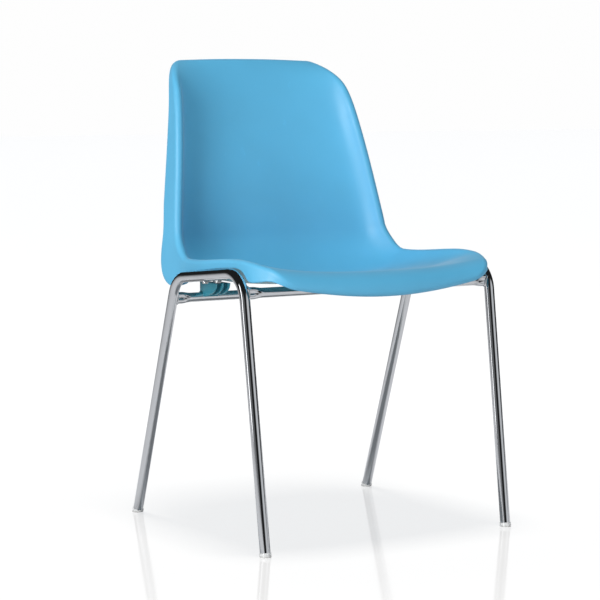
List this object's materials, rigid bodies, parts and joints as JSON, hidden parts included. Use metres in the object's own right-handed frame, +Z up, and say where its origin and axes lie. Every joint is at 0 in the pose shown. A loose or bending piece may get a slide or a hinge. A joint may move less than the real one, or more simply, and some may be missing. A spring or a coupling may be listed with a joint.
{
  "type": "stacking chair",
  "caption": "Stacking chair: moulded plastic bucket seat with turned-over edges on a bent chromed tube frame with crossbars, fixing plates, stacking buffers and floor glides.",
  "frame": {"origin": "on the floor under the middle of the whole chair", "axes": "X across the chair, +X to the sitter's left; the front edge of the seat faces -Y; +Z up"},
  "size_m": [0.497, 0.4939, 0.7934],
  "materials": {
    "shell_plastic": "sky blue polypropylene, fine matt grain with a soft sheen",
    "buffer_plastic": "blue moulded plastic, satin",
    "chromed_steel": "bright chrome plate on steel tube",
    "zinc_fixings": "zinc-plated steel",
    "glide_plastic": "milky translucent plastic"
  },
  "bodies": {
    "root": {"shell": "shell_plastic", "left_side_frame": "chromed_steel", "right_side_frame": "chromed_steel", "front_crossbar": "chromed_steel", "rear_crossbar": "chromed_steel", "left_fixing_plate": "chromed_steel", "right_fixing_plate": "chromed_steel", "left_front_screw": "zinc_fixings", "left_rear_screw": "zinc_fixings", "right_front_screw": "zinc_fixings", "right_rear_screw": "zinc_fixings", "left_screw_washers": "zinc_fixings", "right_screw_washers": "zinc_fixings", "left_stacking_buffer": "buffer_plastic", "right_stacking_buffer": "buffer_plastic", "front_left_glide": "glide_plastic", "front_right_glide": "glide_plastic", "rear_left_glide": "glide_plastic", "rear_right_glide": "glide_plastic"}
  },
  "joints": []
}
